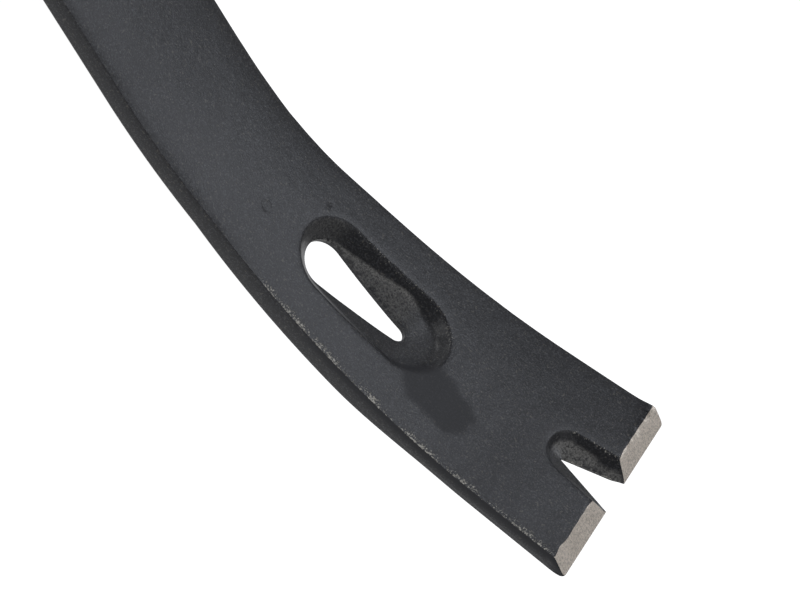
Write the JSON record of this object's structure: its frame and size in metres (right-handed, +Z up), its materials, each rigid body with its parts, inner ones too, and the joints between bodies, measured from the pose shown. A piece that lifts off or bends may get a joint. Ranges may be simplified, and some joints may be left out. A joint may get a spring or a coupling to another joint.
{
  "type": "halligan bar",
  "caption": "Forcible-entry bar with a curved, notched claw, and a head with an adze, a pike and striking faces, pinned to a round shaft with rubber grips.",
  "frame": {"origin": "on the shaft's axis, in the middle of the bare length between the two grips, where a storage bracket holds the bar", "axes": "+X along the shaft towards the claw, +Y across the claw and along the pike, +Z up, to the side that the claw and the adze curve to; the bar lies on the rims of its sockets and on the flat of the head at z = -0.019"},
  "size_m": [0.762, 0.1763, 0.169],
  "materials": {
    "satin_black_paint": "satin near-black paint over a forged surface, fine light speckle, chipped along the sharp edges",
    "ground_steel": "bare steel, ground across the edge, fine grain",
    "spring_steel": "plain spring steel, slightly dull",
    "grip_rubber": "matt black moulded rubber with fine pebble grain",
    "black_oxide": "black oxide on turned steel, semi-matt"
  },
  "bodies": {
    "root": {"claw_forging": "satin_black_paint", "head_forging": "satin_black_paint", "shaft": "satin_black_paint", "claw_pin_front": "spring_steel", "claw_pin_rear": "spring_steel", "head_pin_front": "spring_steel", "head_pin_rear": "spring_steel", "grip_front": "grip_rubber", "grip_rear": "grip_rubber", "ring_front_outer": "black_oxide", "ring_front_inner": "black_oxide", "ring_rear_inner": "black_oxide", "ring_rear_outer": "black_oxide"}
  },
  "joints": []
}
